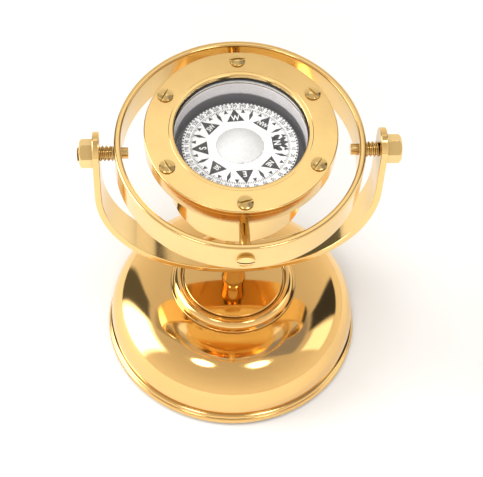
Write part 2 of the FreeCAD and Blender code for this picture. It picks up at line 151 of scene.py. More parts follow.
def node(tree, kind, inputs=None, **settings):
    """A shader or geometry node with its settings, and its inputs linked or set."""
    made = tree.nodes.new(kind)
    for key, value in settings.items():
        setattr(made, key, value)
    for key, value in (inputs or {}).items():
        if isinstance(value, bpy.types.NodeSocket):
            tree.links.new(value, made.inputs[key])
        else:
            made.inputs[key].default_value = value
    return made


def on_axis(tree, place=None):
    """Object coordinates in mm with the turning axis on Z, for a piece put at place."""
    where = node(tree, "ShaderNodeTexCoord").outputs["Object"]
    to_mm = {"Vector": where, "Scale": (1000, 1000, 1000)}
    if place:
        back = place.inverted()
        to_mm |= {"Rotation": back.to_euler(), "Location": back.to_translation()}
    return node(tree, "ShaderNodeMapping", to_mm).outputs[0]


def sums_in(tree):
    """A function that adds one step of arithmetic to the tree and returns its result."""
    def sums(kind, first, second=0.0):
        return node(tree, "ShaderNodeMath", {0: first, 1: second}, operation=kind).outputs[0]
    return sums


def span(tree, value, low, high, to_low, to_high, **settings):
    """The value between low and high carried over to the range from to_low to to_high."""
    return node(tree, "ShaderNodeMapRange", {"Value": value, "From Min": low, "From Max": high,
                "To Min": to_low, "To Max": to_high}, **settings).outputs[0]


def noise(tree, where, scale, detail=2.0, rough=0.5):
    """Soft noise about 0.5, with scale features to each unit of where."""
    return node(tree, "ShaderNodeTexNoise", {"Vector": where, "Scale": scale, "Detail": detail,
                "Roughness": rough}).outputs["Fac"]


def blended(tree, share, first, second):
    """From the first colour to the second as share goes from 0 to 1."""
    return node(tree, "ShaderNodeMix", {"Factor": share, "A": (*first, 1), "B": (*second, 1)},
                data_type="RGBA").outputs["Result"]


def from_axis(tree, where):
    """The distance from the turning axis and the height along it."""
    at = node(tree, "ShaderNodeSeparateXYZ", {"Vector": where}).outputs
    flat = node(tree, "ShaderNodeCombineXYZ", {"X": at["X"], "Y": at["Y"]}).outputs[0]
    return node(tree, "ShaderNodeVectorMath", {0: flat}, operation="LENGTH").outputs["Value"], at["Z"]


def new_material(name, **values):
    """A material with its tree and shader; values are the shader's uniform ones."""
    material = bpy.data.materials.new(name)
    material.use_nodes = True
    shader = material.node_tree.nodes["Principled BSDF"]
    for key, value in values.items():
        shader.inputs[key.replace("_", " ")].default_value = value
    return material, material.node_tree, shader


def dressed(tree, shader, colour, rough=None, height=None, depth=0.0, strength=1.0):
    """Links a colour, and where given a roughness and the height of a bump, to the shader."""
    tree.links.new(colour, shader.inputs["Base Color"])
    if rough:
        tree.links.new(rough, shader.inputs["Roughness"])
    if height:
        bump = node(tree, "ShaderNodeBump", {"Height": height, "Distance": depth, "Strength": strength})
        tree.links.new(bump.outputs["Normal"], shader.inputs["Normal"])


def brass(name, colour, rough, marks, place=None, turned_marks=True, cloud=0.04, corner=1.4, dull=0.5):
    """Polished brass. Within corner mm of the corners it browns, partly as tarnish and partly as painted
    shade; where other pieces hide it within 20 mm it darkens as painted shade, as strong as the last
    argument; wiping leaves faint clouds, and the tool or the mop leaves marks so many microns deep."""
    material, tree, shader = new_material(name, Metallic=1.0)
    sums = sums_in(tree)
    where = on_axis(tree, place)
    clouds = noise(tree, where, cloud, 5.0, 0.6)
    specks = noise(tree, where, 1.1, 3.0)
    # occlusion within corner mm browns the hollows as tarnish and as painted shade; occlusion over 20 mm is
    # painted shade where other pieces hide the brass
    nook = node(tree, "ShaderNodeAmbientOcclusion", {"Distance": corner / 1000}, samples=4).outputs["AO"]
    hidden = node(tree, "ShaderNodeAmbientOcclusion", {"Distance": 0.02}, samples=4).outputs["AO"]
    shade = span(tree, hidden, 0.25, 0.85, dull, 0.0)
    corner_tarnish_and_shade = span(tree, nook, 0.2, 0.8, 0.9, 0.0)
    patch = span(tree, clouds, 0.45, 0.8, 0.0, 0.10)
    # the strongest of corner tarnish with painted shade, wiping clouds and painted shade from hidden parts
    # browns the brass
    tarnish_and_shade = sums("MAXIMUM", sums("MAXIMUM", corner_tarnish_and_shade, patch), shade)
    gloss = span(tree, sums("MULTIPLY", clouds, specks), 0.12, 0.42, rough * 0.75, rough * 1.7)
    if turned_marks:
        radius, height = from_axis(tree, where)
        track = node(tree, "ShaderNodeCombineXYZ", {"X": radius, "Z": height}).outputs[0]
    else:
        track = node(tree, "ShaderNodeMapping", {"Vector": where, "Scale": (0.12, 1.6, 0.12)}).outputs[0]
    lines = noise(tree, track, 1.6 if turned_marks else 1.0, 4.0, 0.7)
    dressed(tree, shader, blended(tree, tarnish_and_shade, colour, TARNISH_AND_SHADE_BROWN), gloss, lines, marks * 1e-6)
    return material


def belongs(piece, body, slot, *cad_nodes):
    """The piece rides on its body and stands for its nodes; the slot is not used."""
    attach(piece, body)
    if cad_nodes:
        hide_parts(*cad_nodes)


GOLD = (0.92, 0.645, 0.275)
DEEP = (0.92, 0.60, 0.235)
SCREW_GOLD = (0.93, 0.69, 0.31)
# brown for tarnish, and for the painted shade in corners and where brass is hidden
TARNISH_AND_SHADE_BROWN = (0.17, 0.095, 0.035)
foot_brass = brass("foot_brass", DEEP, rough=0.09, marks=1.0, corner=3.0)
FOOT_TOP = 7.5
rolled_rim = bend_through((70.6, 0.6), (72.0, 2.7), (71.2, 4.8))
upper_bead = bend_through((70.5, 5.0), (71.1, 6.1), (70.3, 7.2), steps=8)
foot = turned("foot_ring", eased(
    [(66.0, 0.6, 0.2)] + rolled_rim + upper_bead
    + [(69.3, FOOT_TOP, 0.1), (60.0, FOOT_TOP, 0.2), (60.0, 3.0), (66.0, 3.0)]),
    material=foot_brass, steps=256)
belongs(foot, "stand", "turned_brass", "foot_ring")


# ---- dome ----------------------------------------------------------------------------------
# Spun from 1.2 mm brass sheet over a wooden former, then mopped to a mirror. Its outline is a
# squarish quarter ellipse, and the spinner's rings are only just left in the surface.

SHEET = 1.2
TIE_HOLE_R = 4.1


def dome_outline(inset, steps=56):
    """Points up the dome from its foot to the flat of its crown."""
    points = [(69.3 - inset, FOOT_TOP)]
    for k in range(steps + 1):
        angle = math.radians(2 + 84 * k / steps)
        points.append((34.0 + (36.0 - inset) * math.cos(angle) ** (2 / 2.4),
                       11.0 + (27.5 - inset) * math.sin(angle) ** (2 / 2.4)))
    return points


dome_brass = brass("dome_brass", DEEP, rough=0.07, marks=2.2, cloud=0.022, corner=2.6)
dome_skin, dome_lining = dome_outline(0), dome_outline(SHEET)
CROWN_Z = dome_skin[-1][1]
tie_hole = [(TIE_HOLE_R, CROWN_Z), (TIE_HOLE_R, dome_lining[-1][1])]
dome = turned("base_dome", dome_skin + tie_hole + dome_lining[::-1], material=dome_brass, steps=288)
belongs(dome, "stand", "polished_brass", "base_dome")


# ---- collar and cap ------------------------------------------------------------------------
# A beaded brass ring soldered on the dome's crown, and the polished disc that drops into it.
# A hairline gap shows where the two meet.

CAP_R = 28.2
collar_brass = brass("collar_brass", DEEP, rough=0.07, marks=0.8)
collar_bead = bend_through((34.2, CROWN_Z + 1.6), (33.6, CROWN_Z + 4.0), (31.6, 43.9))
collar_lip = bend_through((31.6, 43.9), (30.3, 43.9), (29.2, 42.9), steps=6)
collar = turned("collar_ring", eased(
    [(CAP_R, CROWN_Z), (35.5, CROWN_Z), (35.5, CROWN_Z + 1.2, 0.3)] + collar_bead + collar_lip[1:]
    + [(28.35, 42.9, 0.2)]), material=collar_brass, steps=224)
belongs(collar, "stand", "turned_brass", "collar_ring")

CAP_Z = 44.5
# the cap under the stem and bowl gets only weak painted shade
cap = turned("pedestal_cap", eased(
    [(CAP_R, CROWN_Z), (CAP_R, CAP_Z, 0.7), (TIE_HOLE_R, CAP_Z, 0.1), (TIE_HOLE_R, CROWN_Z)], steps=7),
    material=brass("cap_brass", DEEP, rough=0.08, marks=1.4, dull=0.25), steps=192)
belongs(cap, "stand", "polished_brass", "pedestal_cap")


# ---- stem ----------------------------------------------------------------------------------
# A short waisted post turned from brass bar. The tie bolt runs up through it from the ballast
# and clamps the yoke on its top face.

YOKE_UNDER = 60.5
STEM_R = 6.6
WAIST_R = 6.1
waist = bend_through((STEM_R, CAP_Z + 1.2), (WAIST_R, (CAP_Z + YOKE_UNDER) / 2), (STEM_R, YOKE_UNDER - 1.2))
stem = turned("stem", eased(
    [(TIE_HOLE_R, CAP_Z), (STEM_R, CAP_Z, 0.15)] + waist
    + [(STEM_R, YOKE_UNDER, 0.15), (TIE_HOLE_R, YOKE_UNDER)]),
    material=brass("stem_brass", DEEP, rough=0.09, marks=1.6), steps=96)
belongs(stem, "stand", "turned_brass", "stem")


# ---- yoke ----------------------------------------------------------------------------------
# Flat brass bar 19 x 3.5 mm, bent hot into a long U: a shallow crown under the bowl, tighter
# corners and two upright arms with rounded ends, bored and tapped for the pivot screws.

BAR_T = 3.5
BAR_W = 19.0
ARM_X = 73.1
PIVOT_Z = 152.0
CROWN_R = 88.0
CROWN_TURN = math.radians(22.0)
CORNER_R = (ARM_X - CROWN_R * math.sin(CROWN_TURN)) / (1 - math.sin(CROWN_TURN))
CROWN_MID_Z = YOKE_UNDER + BAR_T / 2 + CROWN_R
CORNER_MID = Vector((ARM_X - CORNER_R, CROWN_MID_Z - (CROWN_R - CORNER_R) * math.cos(CROWN_TURN)))
ARM_TOP = PIVOT_Z + 12.0
CROWN_RUN = CROWN_R * CROWN_TURN
CORNER_RUN = CORNER_R * (math.pi / 2 - CROWN_TURN)
HALF_RUN = CROWN_RUN + CORNER_RUN + ARM_TOP - CORNER_MID.y


def bent(along, across, out):
    """The place of a point on the straight bar once it is bent into the yoke."""
    side, run = math.copysign(1, along), abs(along)
    if run <= CROWN_RUN:
        angle = run / CROWN_R
        x, z = (CROWN_R + out) * math.sin(angle), CROWN_MID_Z - (CROWN_R + out) * math.cos(angle)
    elif run <= CROWN_RUN + CORNER_RUN:
        angle = CROWN_TURN + (run - CROWN_RUN) / CORNER_R
        x = CORNER_MID.x + (CORNER_R + out) * math.sin(angle)
        z = CORNER_MID.y - (CORNER_R + out) * math.cos(angle)
    else:
        x, z = ARM_X + out, CORNER_MID.y + run - CROWN_RUN - CORNER_RUN
    return side * x, across, z


def flat_bar():
    """The bar's mesh, bent: rings of its outline drawn in at the eased edges, above and below."""
    ease, keep = 0.55, 0.12
    rims = [(ease + keep, BAR_T / 2)]
    rims += [(ease * (1 - math.sin(a)), BAR_T / 2 - ease * (1 - math.cos(a)))
             for a in (math.pi / 2 * k / 4 for k in range(5))]
    rims += [(0.0, BAR_T / 2 - ease - keep)]
    rims += [(inset, -height) for inset, height in reversed(rims)]
    half = BAR_W / 2
    straight = HALF_RUN - half
    count = 170
    turn = [math.pi / 2 * k / 16 for k in range(1, 17)]
    stations = [(-straight, a) for a in reversed(turn)]
    stations += [(straight * (2 * k / count - 1), None) for k in range(count + 1)]
    stations += [(straight, a) for a in turn]
    shape = bmesh.new()
    grid = []
    for along, angle in stations:
        row = []
        for inset, out in rims:
            if angle is None:
                s, h = along, half - inset
            else:
                s = along + math.copysign((half - inset) * math.sin(angle), along)
                h = max(0.0, (half - inset) * math.cos(angle))
            row.append((shape.verts.new(bent(s, h, out)), shape.verts.new(bent(s, -h, out))))
        grid.append(row)
    last = len(rims) - 1
    for one, two in zip(grid, grid[1:]):
        for k in range(last):
            for side in (0, 1):
                shape.faces.new((one[k][side], two[k][side], two[k + 1][side], one[k + 1][side]))
        for k in (0, last):
            shape.faces.new((one[k][0], two[k][0], two[k][1], one[k][1]))
    return shape


def bored(piece, *drills):
    """Cuts the drills, meshes of their own, out of the piece and leaves a plain mesh."""
    for drill in drills:
        cut = piece.modifiers.new("bore", "BOOLEAN")
        cut.object, cut.operation, cut.solver = drill, "DIFFERENCE", "EXACT"
    mesh = settled(piece)
    piece.modifiers.clear()
    old, piece.data = piece.data, mesh
    mesh.name = old.name + "_bored"
    bpy.data.meshes.remove(old)
    for drill in drills:
        bpy.data.objects.remove(drill)
    return piece


def drill(radius, start, end, place):
    """A round drill from start to end along Z, put at place, with more sides than show."""
    outline = [(0, start), (radius, start), (radius, end), (0, end)]
    return turned("drill", outline, place, steps=64)


ALONG_X = Matrix.Rotation(math.pi / 2, 4, "Y")
ALONG_LESS_X = Matrix.Rotation(-math.pi / 2, 4, "Y")
ALONG_Y = Matrix.Rotation(-math.pi / 2, 4, "X")
AT_PIVOTS = Matrix.Translation((0, 0, PIVOT_Z))

bar_brass = brass("bar_brass", GOLD, rough=0.10, marks=1.6, turned_marks=False)
yoke = piece_of("yoke", flat_bar(), material=bar_brass)
bored(yoke, drill(3.6, -90, 90, AT_PIVOTS @ ALONG_X), drill(TIE_HOLE_R, 50, 70, Matrix()))
smoothed(yoke.data)
belongs(yoke, "stand", "polished_brass", "yoke")


# ---- pivot screws of the ring --------------------------------------------------------------
# Coarse-threaded brass screws through the arms: a stud with a hexagon nut on one side, a hexagon
# headed bolt on the other. Each ends in a smooth journal that the gimbal ring swings on.

THREAD_R = 4.0
JOURNAL_R = 2.9
SHOULDER_X = 64.3
TIP_X = 56.8
ARM_OUT_X = ARM_X + BAR_T / 2
END_X = ARM_OUT_X + 8.0
ACROSS_FLATS = 13.0


def geometry_tree(name, inputs):
    """A geometry tree with inputs of the given names and kinds, and those inputs inside it."""
    tree = bpy.data.node_groups.new(name, "GeometryNodeTree")
    for label, kind in inputs.items():
        tree.interface.new_socket(label, in_out="INPUT", socket_type="NodeSocket" + kind)
    tree.interface.new_socket("Geometry", in_out="OUTPUT", socket_type="NodeSocketGeometry")
    return tree, node(tree, "NodeGroupInput").outputs


def spots(tree):
    """Where each point of the tree's mesh is."""
    return node(tree, "GeometryNodeInputPosition").outputs[0]


def laid(tree, grid, spot, within):
    """The grid with its points put at spot, and those within a small distance merged."""
    put = node(tree, "GeometryNodeSetPosition", {"Geometry": grid.outputs["Mesh"], "Position": spot}).outputs[0]
    return node(tree, "GeometryNodeMergeByDistance", {"Geometry": put, "Distance": within}).outputs[0]


def ended(tree, geometry, material):
    """The tree, ended with its instances made real and its material set."""
    whole = node(tree, "GeometryNodeRealizeInstances", {"Geometry": geometry}).outputs[0]
    done = node(tree, "GeometryNodeSetMaterial", {"Geometry": whole, "Material": material}).outputs[0]
    node(tree, "NodeGroupOutput", {"Geometry": done})
    return tree


def thread_tree():
    """A geometry tree that makes a screw thread: a grid rolled up round Z, its radius rising and
    falling along a helix, its two ends drawn in to the axis."""
    tree, given = geometry_tree("screw_thread", {
        "Crest Radius": "Float", "Depth": "Float", "Pitch": "Float", "Length": "Float", "Rows": "Int",
        "Finish": "Material"})
    grid = node(tree, "GeometryNodeMeshGrid", {"Size X": 1.0, "Size Y": 1.0, "Vertices X": 49,
                "Vertices Y": given["Rows"]})
    at = node(tree, "ShaderNodeSeparateXYZ", {"Vector": spots(tree)}).outputs
    sums = sums_in(tree)
    along = sums("MULTIPLY", sums("ADD", at["Y"], 0.5), given["Length"])
    turn = sums("MULTIPLY", at["X"], math.tau)
    phase = sums("SUBTRACT", sums("ADD", sums("DIVIDE", along, given["Pitch"]), 40.0), at["X"])
    rise = sums("ABSOLUTE", sums("SUBTRACT", sums("MULTIPLY", sums("FRACT", phase), 2.0), 1.0))
    flank = span(tree, rise, 0.12, 0.86, 0.0, 1.0, interpolation_type="SMOOTHSTEP")
    radius = sums("SUBTRACT", given["Crest Radius"], sums("MULTIPLY", flank, given["Depth"]))
    radius = sums("MULTIPLY", radius, sums("LESS_THAN", sums("ABSOLUTE", at["Y"]), 0.4999))
    spot = node(tree, "ShaderNodeCombineXYZ", {"X": sums("MULTIPLY", radius, sums("COSINE", turn)),
                "Y": sums("MULTIPLY", radius, sums("SINE", turn)), "Z": along}).outputs[0]
    return ended(tree, laid(tree, grid, spot, 0.004), given["Finish"])


def made_by(tree, name, base=None, **values):
    """Runs a geometry tree on a base mesh, or on none, and returns the plain mesh that it makes."""
    holder = in_scene(name, base or bpy.data.meshes.new(name + "_start"))
    grown = holder.modifiers.new("grown", "NODES")
    grown.node_group = tree
    for socket in tree.interface.items_tree:
        key = socket.name.replace(" ", "_")
        if socket.in_out == "INPUT" and key in values:
            grown[socket.identifier] = values[key]
    mesh = settled(holder)
    holder.modifiers.clear()
    bpy.data.objects.remove(holder)
    return mesh


THREAD = thread_tree()
PITCH = 1.95


def threaded(shape, start, end, material):
    """Adds a thread from start to end along Z to the bmesh shape, both in mm."""
    rows = int((end - start) / PITCH * 14)
    mesh = made_by(THREAD, "thread", Crest_Radius=THREAD_R, Depth=0.85, Pitch=PITCH,
                   Length=end - start, Rows=rows, Finish=material)
    mesh.transform(Matrix.Translation((0, 0, start)))
    shape.from_mesh(mesh)
    bpy.data.meshes.remove(mesh)


def hexagon(shape, start, end, bore=0.0, vertex=0.0):
    """Adds a hexagon along Z to the bmesh shape, its far end turned to a cone as bar stock is."""
    corner = ACROSS_FLATS / math.sqrt(3)
    turns = [vertex + math.tau * k / 6 for k in range(6)]
    outline = eased([(corner * math.cos(turn), corner * math.sin(turn), 0.35) for turn in turns])
    # more points along each flat, so that the cone cuts it in a curve
    points = []
    for (ax, ay), (bx, by) in zip(outline, outline[1:] + outline[:1]):
        parts = max(1, int(math.hypot(bx - ax, by - ay) / 0.5))
        points += [(ax + (bx - ax) * k / parts, ay + (by - ay) * k / parts) for k in range(parts)]
    face_r = ACROSS_FLATS / 2 - 0.3
    chamfer = 1.1
    slope = chamfer / (corner - face_r)
    verts = []
    for x, y in points:
        radius = math.hypot(x, y)
        drop = max(0.0, radius - face_r) * slope
        profile = [(bore, start), (radius, start), (radius, end - drop), (min(radius, face_r), end),
                   (face_r - 0.15, end), (bore, end)]
        verts.append([shape.verts.new((x / radius * r, y / radius * r, z)) for r, z in profile])
    for one, two in zip(verts, verts[1:] + verts[:1]):
        for k in range(6):
            nxt = (k + 1) % 6
            if k == 5 and bore == 0.0:
                continue
            shape.faces.new((one[k], two[k], two[nxt], one[nxt]))


screw_brass = brass("pivot_screw_brass", SCREW_GOLD, rough=0.11, marks=1.2, place=AT_PIVOTS @ ALONG_X)
for side, name in ((-1, "pivot_stud"), (1, "pivot_bolt")):
    shape = bmesh.new()
    thread_end = END_X if side < 0 else ARM_OUT_X + 0.5
    threaded(shape, SHOULDER_X + 0.35, thread_end, screw_brass)
    journal = [(0, TIP_X), (JOURNAL_R, TIP_X, 0.35), (JOURNAL_R, SHOULDER_X), (3.7, SHOULDER_X, 0.2),
               (3.7, SHOULDER_X + 0.8), (0, SHOULDER_X + 0.8)]
    sweep_round(shape, eased(journal), steps=64)
    if side > 0:
        hexagon(shape, ARM_OUT_X, END_X, vertex=math.radians(-111.0))
    # toward +X for the bolt, toward -X for the stud
    place = AT_PIVOTS @ (ALONG_X if side > 0 else ALONG_LESS_X)
    piece = piece_of(name, shape, place, screw_brass, crease=40)
    belongs(piece, "stand", "screw_brass", name)

shape = bmesh.new()
hexagon(shape, ARM_OUT_X, END_X - 1.2, bore=THREAD_R - 0.2, vertex=math.radians(52.0))
nut = piece_of("pivot_nut", shape, AT_PIVOTS @ ALONG_LESS_X, screw_brass, crease=40)
belongs(nut, "stand", "screw_brass", "pivot_nut")


# ---- gimbal ring ---------------------------------------------------------------------------
# Flat brass bar rolled into a hoop, the joint brazed and dressed away. Bored at the sides for
# the journals and front and back for the two screws that carry the bowl.

LEAN_TURN = math.radians(7.0)
LEAN = AT_PIVOTS @ Matrix.Rotation(LEAN_TURN, 4, "X")
RING_R = 64.0
BOWL_PIVOT_R = 2.75
# strong painted shade on the ring where the bowl and yoke hide it, most on its inside
hoop_brass = brass("hoop_brass", GOLD, rough=0.09, marks=1.6, place=LEAN, dull=0.9)
hoop = turned("gimbal_ring", eased(
    [(RING_R - BAR_T, -BAR_W / 2, 1.2), (RING_R, -BAR_W / 2, 1.2), (RING_R, BAR_W / 2, 1.2),
     (RING_R - BAR_T, BAR_W / 2, 1.2)], steps=8), material=hoop_brass, steps=256)
bored(hoop, drill(JOURNAL_R + 0.05, -70, 70, ALONG_X), drill(BOWL_PIVOT_R, -70, 70, ALONG_Y))
hoop.data.transform(TO_METRES @ LEAN @ Matrix.Scale(1000, 4))
smoothed(hoop.data)
belongs(hoop, "gimbal", "polished_brass", "gimbal_ring")


# ---- slotted screws ------------------------------------------------------------------------
# Low round-headed brass screws, turned and slit with a saw: two large ones carry the bowl in
# the ring, six hold the bezel and four small ones the cover under the bowl.

FLATTER = 6.0  # added to the radius of the head's round, which flattens it


def slotted(radius, height, slot_width, slot_depth, shank_r, shank_end, below=0.0):
    """A screw standing on z = 0 with its shank down to shank_end and its slot along X."""
    sphere_r = (radius ** 2 + height ** 2) / (2 * height) + FLATTER
    drop = sphere_r - height
    rim_z = math.sqrt(sphere_r ** 2 - radius ** 2) - drop
    cap = [(radius * math.cos(a), math.sqrt(sphere_r ** 2 - (radius * math.cos(a)) ** 2) - drop)
           for a in (math.pi / 2 * k / 14 for k in range(1, 14))]
    corners = [(0, shank_end), (shank_r, shank_end, 0.2), (shank_r, -below), (radius, -below, 0.12),
               (radius, rim_z, 0.28)] + cap + [(0, height)]
    screw = turned("slotted", eased(corners), steps=72)
    saw = bmesh.new()
    bmesh.ops.create_cube(saw, size=1.0, matrix=Matrix.Translation((0, 0, height + 5 - slot_depth))
                          @ Matrix.Diagonal((4 * radius, slot_width, 10.0, 1)))
    bored(screw, piece_of("saw", saw))
    smoothed(screw.data, 30)
    screw.data.transform(Matrix.Scale(1000, 4))
    return screw


def set_screws_tree():
    """A geometry tree that sets one screw at each point of a mesh, turned by the point's swing."""
    tree, given = geometry_tree("set_screws", {
        "Geometry": "Geometry", "Screw": "Object", "Size": "Float", "Finish": "Material"})
    screw = node(tree, "GeometryNodeObjectInfo", {"Object": given["Screw"]}).outputs["Geometry"]
    swing = node(tree, "GeometryNodeInputNamedAttribute", {"Name": "swing"}, data_type="FLOAT_VECTOR")
    set_in = node(tree, "GeometryNodeInstanceOnPoints", {"Points": given["Geometry"], "Instance": screw,
                  "Rotation": swing.outputs["Attribute"], "Scale": given["Size"]}).outputs[0]
    return ended(tree, set_in, given["Finish"])


SET_SCREWS = set_screws_tree()


def set_in_place(name, screw, places, material, place):
    """One mesh of the screw at each of places, a list of (point, turn in radians about X, Y, Z)."""
    points = bpy.data.meshes.new(name + "_points")
    points.from_pydata([tuple(point) for point, _ in places], [], [])
    swing = points.attributes.new("swing", "FLOAT_VECTOR", "POINT")
    for k, (_, turn) in enumerate(places):
        swing.data[k].vector = turn
    mesh = made_by(SET_SCREWS, name, base=points, Screw=screw, Size=1.0, Finish=material)
    mesh.transform(TO_METRES @ place)
    smoothed(mesh, 30)
    bpy.data.objects.remove(screw)
    return in_scene(name, mesh)


head_brass = brass("screw_head_brass", (0.93, 0.68, 0.29), rough=0.12, marks=1.0, corner=1.2,
                   turned_marks=False, place=LEAN)
large = slotted(4.4, 2.4, 1.0, 1.1, BOWL_PIVOT_R, -27.0, below=0.4)
bowl_screws = set_in_place("bowl_pivot_screws", large, [
    ((0, -RING_R, 0), (math.pi / 2, 0, 0)), ((0, RING_R, 0), (-math.pi / 2, 0, 0))], head_brass, LEAN)
belongs(bowl_screws, "gimbal", "screw_brass", "bowl_pivot_screws")


# ---- bowl ----------------------------------------------------------------------------------
# Brass casting turned inside and out: a broad flange over a plain barrel. The two bosses that
# the pivot screws run in are soldered to it, front and back.

BEZEL_R = 48.8
BEZEL_TOP = 19.0
FLANGE_TOP = 16.0
FLANGE_UNDER = 9.0
WINDOW_R = 34.0
BOWL_R = 35.6
BOWL_BOTTOM = -32.0
GLASS_R = 38.4
GLASS_TOP = FLANGE_TOP - 0.8
GLASS_UNDER = GLASS_TOP - 2.3
SEAT_Z = GLASS_UNDER - 0.7
CHAMBER_R = 34.2
WEIGHT_R = 33.0
CHAMBER_UNDER = -8.0
# fairly strong painted shade on the bowl under its flange and round its barrel
case_brass = brass("case_brass", GOLD, rough=0.10, marks=2.0, place=LEAN, dull=0.7)
case = turned("bowl_case", eased(
    [(BOWL_R, BOWL_BOTTOM, 1.5), (BOWL_R, FLANGE_UNDER, 0.3), (BEZEL_R, FLANGE_UNDER, 0.45),
     (BEZEL_R, FLANGE_TOP, 0.12), (GLASS_R + 0.1, FLANGE_TOP, 0.1), (GLASS_R + 0.1, SEAT_Z),
     (CHAMBER_R, SEAT_Z), (CHAMBER_R, CHAMBER_UNDER), (WEIGHT_R, CHAMBER_UNDER),
     (WEIGHT_R, BOWL_BOTTOM, 0.2)], steps=6), LEAN, case_brass, steps=256)
belongs(case, "bowl", "turned_brass", "bowl_case")

BOSS_R = 4.2
BOSS_BORE_R = 2.8
BOSS_END = 42.0
shape = bmesh.new()
for quarter in (math.pi / 2, -math.pi / 2):
    boss = bmesh.new()
    sweep_round(boss, eased([(0, 34.6), (BOSS_R, 34.6), (BOSS_R, BOSS_END, 0.35), (BOSS_BORE_R, BOSS_END, 0.2),
                             (BOSS_BORE_R, 36.7), (0, 36.7)]), 72)
    boss.transform(Matrix.Rotation(quarter, 4, "X"))
    spare = bpy.data.meshes.new("boss")
    boss.to_mesh(spare)
    boss.free()
    shape.from_mesh(spare)
    bpy.data.meshes.remove(spare)
bosses = piece_of("pivot_bosses", shape, LEAN, case_brass)
belongs(bosses, "bowl", "turned_brass", "pivot_bosses")


# ---- bezel ---------------------------------------------------------------------------------
# Flat brass ring turned from plate and polished on its face, held on the flange by six screws.
# A fine line is turned in it just outside the window's edge.

bezel_brass = brass("bezel_brass", GOLD, rough=0.085, marks=1.6, place=LEAN)
bezel = turned("bezel_ring", eased(
    [(WINDOW_R, FLANGE_TOP, 0.1), (BEZEL_R, FLANGE_TOP, 0.12), (BEZEL_R, BEZEL_TOP, 0.6),
     (WINDOW_R + 2.40, BEZEL_TOP, 0.05), (WINDOW_R + 2.28, BEZEL_TOP - 0.07),
     (WINDOW_R + 2.16, BEZEL_TOP, 0.05), (WINDOW_R, BEZEL_TOP, 0.6)], steps=6),
    LEAN, bezel_brass, steps=256)
belongs(bezel, "bowl", "polished_brass", "bezel_ring")

SCREW_CIRCLE_R = 43.3
places = []
for k, slot_turn in enumerate((4, 62, 118, 14, 55, 128)):
    angle = math.radians(90 + 60 * k)
    point = (SCREW_CIRCLE_R * math.cos(angle), SCREW_CIRCLE_R * math.sin(angle), BEZEL_TOP)
    places.append((point, (0, 0, math.radians(slot_turn))))
bezel_screws = set_in_place(
    "bezel_screws", slotted(3.9, 1.6, 1.1, 1.0, 1.55, -8.5), places, head_brass, LEAN)
belongs(bezel_screws, "bowl", "screw_brass", "bezel_screws")


# ---- window --------------------------------------------------------------------------------
# Flat plate glass bedded between a black rubber gasket, whose lip lines the window's edge, and
# a thin pale seal on the case's ledge. The glass keeps the liquid in.

def soft_rubber(name, colour, rough):
    """Rubber or fibre: matte, with a dusty bloom in patches."""
    material, tree, shader = new_material(name)
    bloom = noise(tree, on_axis(tree), 0.6, 6.0)
    dusty = [min(1.0, 2.2 * c + 0.01) for c in colour]
    dressed(tree, shader, blended(tree, bloom, colour, dusty),
            span(tree, bloom, 0.0, 1.0, rough - 0.12, rough + 0.15), bloom, 4e-6)
    return material


LIP_R = 33.6
LIP_TOP = 16.4
gasket_rubber = soft_rubber("gasket_rubber", (0.006, 0.005, 0.005), 0.5)
gasket = turned("window_gasket", eased(
    [(LIP_R, GLASS_TOP), (GLASS_R, GLASS_TOP), (GLASS_R, FLANGE_TOP), (WINDOW_R - 0.05, FLANGE_TOP),
     (WINDOW_R - 0.05, LIP_TOP, 0.1), (LIP_R, LIP_TOP, 0.15)]), LEAN, gasket_rubber, steps=192)
belongs(gasket, "bowl", "rubber", "window_gasket")
packed["glass_seal"].data.materials[0] = soft_rubber("seal_rubber", (0.74, 0.73, 0.72), 0.6)


def plate_glass():
    """Clear plate: straight through, with a faint sheen that grows toward the edges of sight and
    a trace of wiping on it; its rim is ground and pale."""
    material, tree, shader = new_material("plate_glass")
    tree.nodes.remove(shader)
    sums = sums_in(tree)
    where = on_axis(tree)
    smear = span(tree, noise(tree, where, 0.05, 6.0), 0.4, 0.8, 0.01, 0.06)
    clear = node(tree, "ShaderNodeBsdfTransparent", {"Color": (0.985, 0.99, 0.99, 1)})
    sheen = node(tree, "ShaderNodeBsdfGlossy", {"Roughness": smear})
    facing = node(tree, "ShaderNodeLayerWeight", {"Blend": 0.5}).outputs["Facing"]
    share = span(tree, sums("POWER", facing, 5.0), 0.0, 1.0, 0.03, 0.9)
    plate = node(tree, "ShaderNodeMixShader", {0: share, 1: clear.outputs[0], 2: sheen.outputs[0]})
    ground = sums("GREATER_THAN", from_axis(tree, where)[0], GLASS_R - 0.4)
    rim = node(tree, "ShaderNodeBsdfDiffuse", {"Color": (0.80, 0.82, 0.81, 1)})
    whole = node(tree, "ShaderNodeMixShader", {0: ground, 1: plate.outputs[0], 2: rim.outputs[0]})
    tree.links.new(whole.outputs[0], tree.nodes["Material Output"].inputs["Surface"])
    return material


glass = turned("window_glass", eased(
    [(0, GLASS_UNDER), (GLASS_R, GLASS_UNDER, 0.2), (GLASS_R, GLASS_TOP - 0.01, 0.2), (0, GLASS_TOP - 0.01)]),
    LEAN, plate_glass(), steps=128)
belongs(glass, "bowl", "glass", "window_glass")


# ---- liquid chamber ------------------------------------------------------------------------
# A thin tin liner, white above about the card's height and grey below it, and a grey floor.
# The pivot post stands in the middle of the floor under the card.

